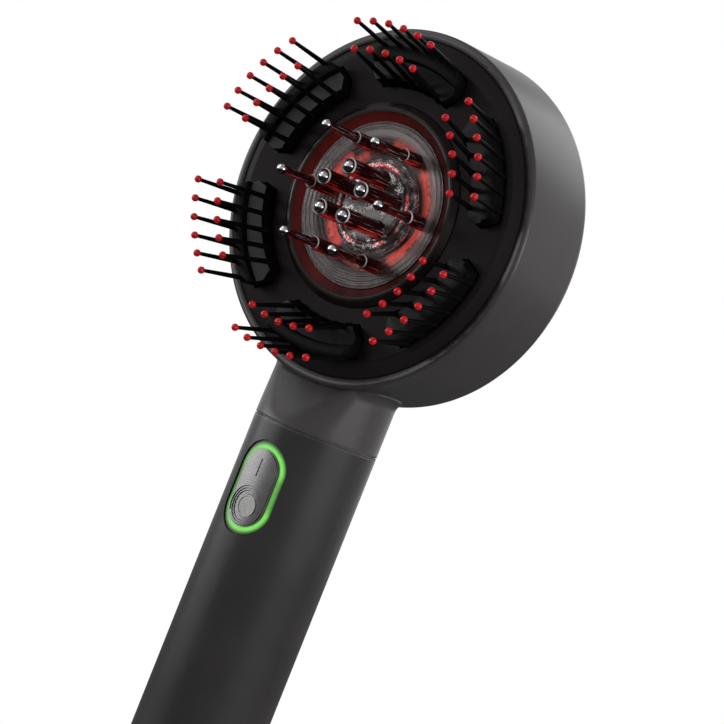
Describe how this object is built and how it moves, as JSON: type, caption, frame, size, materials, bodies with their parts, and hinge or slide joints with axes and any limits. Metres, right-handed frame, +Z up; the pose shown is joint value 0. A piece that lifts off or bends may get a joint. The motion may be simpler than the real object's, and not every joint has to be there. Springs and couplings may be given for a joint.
{
  "type": "electric scalp massager",
  "caption": "Handheld massager: a round drum head with leaning bristle blocks, sprung pins and roller pins round a lit window, on a straight round handle with a pill-shaped control.",
  "frame": {"origin": "centre of the handle's flat end face", "axes": "+Z up along the handle's axis to the head, -Y out of the face with the bristles and the control, +X to the right seen from the front"},
  "size_m": [0.0874, 0.0476, 0.2147],
  "materials": {
    "shell_charcoal": "fine satin, sprayed",
    "handle_charcoal": "fine satin, sprayed",
    "face_black": "smooth satin",
    "bezel_dark": "smooth, smoked",
    "ruby_light_ring": "translucent red",
    "clear_window": "clear moulded plastic",
    "clear_tube": "clear moulded plastic, red from the light",
    "spring_wire": "drawn wire",
    "circuit_board": "solder mask",
    "red_led": "lit",
    "bright_reflector": "vacuum plated",
    "inner_plastic": "moulded",
    "soft_rubber": "moulded",
    "connector_steel": "nickel plated",
    "battery_sleeve": "shrink sleeve",
    "green_led": "lit",
    "green_light_guide": "translucent, lit green",
    "control_metal": "satin",
    "button_metal": "satin",
    "screw_steel": "zinc plated",
    "wire_red": "insulation",
    "red_tip": "glossy",
    "motor_can": "bright",
    "brass_weight": "machined",
    "bristle_black": "moulded, slightly glossy",
    "ball_chrome": "polished"
  },
  "bodies": {
    "handle": {"head_shell": "shell_charcoal", "face_plate": "face_black", "window_bezel": "bezel_dark", "glow_ring": "ruby_light_ring", "front_lens": "clear_window", "roller_hub": "clear_window", "pin_sleeves": "clear_tube", "pin_springs": "spring_wire", "led_board": "circuit_board", "red_leds": "red_led", "hub_reflector": "bright_reflector", "pin_holder": "inner_plastic", "dampers": "soft_rubber", "handle_tube": "handle_charcoal", "end_cap": "handle_charcoal", "end_seal": "soft_rubber", "usb_socket": "connector_steel", "charge_board": "circuit_board", "inner_frame": "inner_plastic", "battery": "battery_sleeve", "control_board": "circuit_board", "tact_switch": "inner_plastic", "status_leds": "green_led", "light_guide": "green_light_guide", "control_plate": "control_metal", "neck_joiner": "inner_plastic", "case_screws": "screw_steel", "lead_wires": "wire_red"},
    "brush_carrier": {"carrier": "inner_plastic", "bristle_block_1": "bristle_black", "bristle_block_2": "bristle_black", "bristle_block_3": "bristle_black", "bristle_block_4": "bristle_black", "bristle_block_5": "bristle_black", "bristle_block_6": "bristle_black", "bristle_tips": "red_tip", "motor": "motor_can", "motor_clamp": "inner_plastic", "clamp_screws": "screw_steel"},
    "vibration_weight": {"motor_shaft": "motor_can", "eccentric_weight": "brass_weight"},
    "sprung_pin_1": {"pin_stem_1": "clear_tube", "pin_ball_1": "ball_chrome"},
    "sprung_pin_2": {"pin_stem_2": "clear_tube", "pin_ball_2": "ball_chrome"},
    "sprung_pin_3": {"pin_stem_3": "clear_tube", "pin_ball_3": "ball_chrome"},
    "sprung_pin_4": {"pin_stem_4": "clear_tube", "pin_ball_4": "ball_chrome"},
    "sprung_pin_5": {"pin_stem_5": "clear_tube", "pin_ball_5": "ball_chrome"},
    "sprung_pin_6": {"pin_stem_6": "clear_tube", "pin_ball_6": "ball_chrome"},
    "roller_1": {"roller_ball_1": "ball_chrome"},
    "roller_2": {"roller_ball_2": "ball_chrome"},
    "roller_3": {"roller_ball_3": "ball_chrome"},
    "roller_4": {"roller_ball_4": "ball_chrome"},
    "roller_5": {"roller_ball_5": "ball_chrome"},
    "power_button": {"power_button": "button_metal"}
  },
  "joints": [
    {"name": "carrier_float", "type": "slide", "parent": "handle", "child": "brush_carrier", "axis": [0, -1, 0], "range_m": [-0.0006, 0.0006], "stiffness_N_per_m": 2500, "deforming": ["dampers"]},
    {"name": "weight_spin", "type": "hinge", "parent": "brush_carrier", "child": "vibration_weight", "pos_m": [0.012, 0.0062, 0.171], "axis": [1, 0, 0], "continuous": true},
    {"name": "pin_press_1", "type": "slide", "parent": "handle", "child": "sprung_pin_1", "axis": [0, 1, 0], "range_m": [0, 0.0035], "stiffness_N_per_m": 80, "springref_m": -0.002, "deforming": ["pin_springs"]},
    {"name": "pin_press_2", "type": "slide", "parent": "handle", "child": "sprung_pin_2", "axis": [0, 1, 0], "range_m": [0, 0.0035], "stiffness_N_per_m": 80, "springref_m": -0.002, "deforming": ["pin_springs"]},
    {"name": "pin_press_3", "type": "slide", "parent": "handle", "child": "sprung_pin_3", "axis": [0, 1, 0], "range_m": [0, 0.0035], "stiffness_N_per_m": 80, "springref_m": -0.002, "deforming": ["pin_springs"]},
    {"name": "pin_press_4", "type": "slide", "parent": "handle", "child": "sprung_pin_4", "axis": [0, 1, 0], "range_m": [0, 0.0035], "stiffness_N_per_m": 80, "springref_m": -0.002, "deforming": ["pin_springs"]},
    {"name": "pin_press_5", "type": "slide", "parent": "handle", "child": "sprung_pin_5", "axis": [0, 1, 0], "range_m": [0, 0.0035], "stiffness_N_per_m": 80, "springref_m": -0.002, "deforming": ["pin_springs"]},
    {"name": "pin_press_6", "type": "slide", "parent": "handle", "child": "sprung_pin_6", "axis": [0, 1, 0], "range_m": [0, 0.0035], "stiffness_N_per_m": 80, "springref_m": -0.002, "deforming": ["pin_springs"]},
    {"name": "roller_turn_1", "type": "hinge", "parent": "handle", "child": "roller_1", "pos_m": [0, -0.0258, 0.1772], "axis": [1, 0, 0], "continuous": true},
    {"name": "roller_turn_2", "type": "hinge", "parent": "handle", "child": "roller_2", "pos_m": [0.0059, -0.0258, 0.17292], "axis": [1, 0, 0], "continuous": true},
    {"name": "roller_turn_3", "type": "hinge", "parent": "handle", "child": "roller_3", "pos_m": [0.00364, -0.0258, 0.16598], "axis": [1, 0, 0], "continuous": true},
    {"name": "roller_turn_4", "type": "hinge", "parent": "handle", "child": "roller_4", "pos_m": [-0.00364, -0.0258, 0.16598], "axis": [1, 0, 0], "continuous": true},
    {"name": "roller_turn_5", "type": "hinge", "parent": "handle", "child": "roller_5", "pos_m": [-0.0059, -0.0258, 0.17292], "axis": [1, 0, 0], "continuous": true},
    {"name": "power_press", "type": "slide", "parent": "handle", "child": "power_button", "axis": [0, 1, 0], "range_m": [0, 0.0004], "stiffness_N_per_m": 900, "springref_m": -0.0005}
  ]
}
